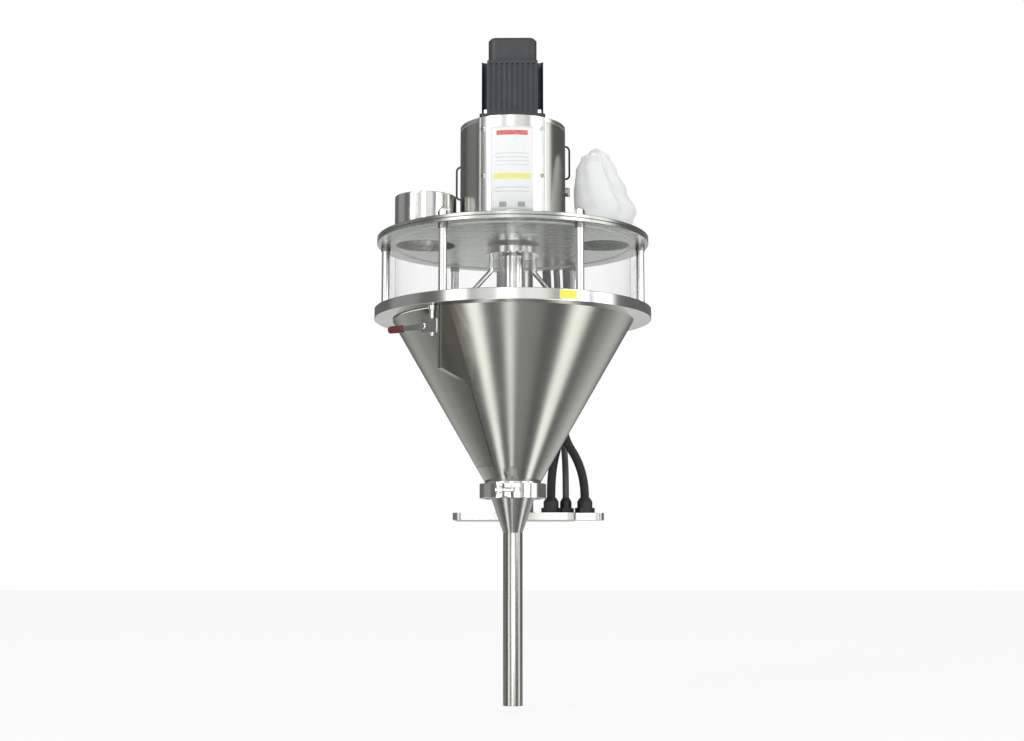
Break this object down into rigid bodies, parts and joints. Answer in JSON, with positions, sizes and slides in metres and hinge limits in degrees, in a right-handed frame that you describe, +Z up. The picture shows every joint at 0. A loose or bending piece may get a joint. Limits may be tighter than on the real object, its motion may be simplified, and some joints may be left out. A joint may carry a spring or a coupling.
{
  "type": "auger powder filler",
  "caption": "Auger powder filler head: split cone hopper with clear ring and lid on a rear column, servo-driven dosing screw, agitator, inlet collar and breather bag.",
  "frame": {"origin": "centre of the column's base plate, on its underside, which stands on the bagging machine's top plate", "axes": "+Z up along the column, -Y towards the operator (the hopper's front), +X to the operator's right"},
  "size_m": [0.546, 0.693, 1.312],
  "materials": {
    "brushed": "satin",
    "polished": "gloss",
    "dark_steel": "satin",
    "alloy": "satin",
    "cast": "matte",
    "clear": "gloss",
    "silicone": "matte",
    "cloth": "matte",
    "strap": "matte",
    "motor_paint": "satin",
    "black_plastic": "matte",
    "red_grip": "gloss",
    "conduit": "matte",
    "grey_cable": "matte"
  },
  "bodies": {
    "frame": {"base_plate": "brushed", "column": "brushed", "lower_arm": "brushed", "upper_arm": "brushed", "socket_screws": "dark_steel", "flange_ring": "polished", "hopper_cone": "brushed", "discharge_ferrule": "brushed", "hinge_pins": "polished", "window_cylinder": "clear", "window_gaskets": "silicone", "tie_rods": "polished", "rod_spacers": "dark_steel", "rod_nuts": "polished", "lid": "brushed", "inlet_collar": "polished", "vent_collar": "polished", "vent_bag": "cloth", "bag_strap": "strap", "drive_housing": "brushed", "front_cover": "brushed", "cover_screws": "dark_steel", "housing_handles": "polished", "motor_plate": "brushed", "motor_body": "motor_paint", "motor_end_cap": "motor_paint", "motor_connectors": "black_plastic", "bearing_housing": "cast", "bearings": "dark_steel", "lid_seal": "silicone", "gear_bridge": "brushed", "agitator_motor": "motor_paint", "clamp_halves": "polished", "clamp_gasket": "silicone", "reducer_funnel": "brushed", "auger_tube": "brushed", "power_conduit": "conduit", "encoder_conduit": "conduit", "sensor_cable": "grey_cable", "cable_glands": "black_plastic", "cable_clips": "brushed"},
    "auger": {"motor_shaft": "dark_steel", "shaft_coupling": "alloy", "drive_shaft": "polished", "screw_chuck": "polished", "auger_screw": "polished"},
    "agitator": {"agitator_sleeve": "polished", "agitator_gear": "dark_steel", "agitator_hub": "polished", "agitator_arms": "polished"},
    "pinion": {"pinion": "dark_steel"},
    "door": {"door_shell": "brushed", "door_seal": "silicone", "toggle_base": "polished"},
    "plunger": {"toggle_plunger": "polished"},
    "handle": {"toggle_handle": "polished", "toggle_grip": "red_grip"},
    "latch": {"housing_latch": "polished"},
    "swing_bolt": {"clamp_bolt": "polished"},
    "wing_nut": {"wing_nut": "polished"}
  },
  "joints": [
    {"name": "auger_spin", "type": "hinge", "parent": "frame", "child": "auger", "pos_m": [0, -0.32, 0.5], "axis": [0, 0, 1], "continuous": true},
    {"name": "agitator_spin", "type": "hinge", "parent": "frame", "child": "agitator", "pos_m": [0, -0.32, 0.5], "axis": [0, 0, 1], "continuous": true},
    {"name": "pinion_spin", "type": "hinge", "parent": "frame", "child": "pinion", "pos_m": [0, -0.2525, 0.62], "axis": [0, 0, 1], "continuous": true},
    {"name": "door_swing", "type": "hinge", "parent": "frame", "child": "door", "pos_m": [-0.1355, -0.08531, 0.32], "axis": [0, 0, -1], "range_deg": [0, 110]},
    {"name": "toggle_handle_swing", "type": "hinge", "parent": "door", "child": "handle", "pos_m": [-0.15718, -0.52024, 0.346], "axis": [-0.5, -0.866, 0], "range_deg": [0, 85]},
    {"name": "toggle_plunger_slide", "type": "slide", "parent": "door", "child": "plunger", "axis": [0, 0, -1], "range_m": [0, 0.01]},
    {"name": "housing_latch_turn", "type": "hinge", "parent": "frame", "child": "latch", "pos_m": [0.1, -0.32, 0.647], "axis": [1, 0, 0], "range_deg": [0, 90]},
    {"name": "clamp_bolt_swing", "type": "hinge", "parent": "frame", "child": "swing_bolt", "pos_m": [0.0085, -0.398, 0.0505], "axis": [0, 0, 1], "range_deg": [0, 100]},
    {"name": "wing_nut_turn", "type": "hinge", "parent": "swing_bolt", "child": "wing_nut", "pos_m": [-0.02, -0.398, 0.0505], "axis": [-1, 0, 0], "continuous": true}
  ],
  "couplings": [
    {"joint": "pinion_spin", "follows": "agitator_spin", "ratio": -2},
    {"joint": "toggle_plunger_slide", "follows": "toggle_handle_swing", "m_per_rad": 0.00674}
  ]
}
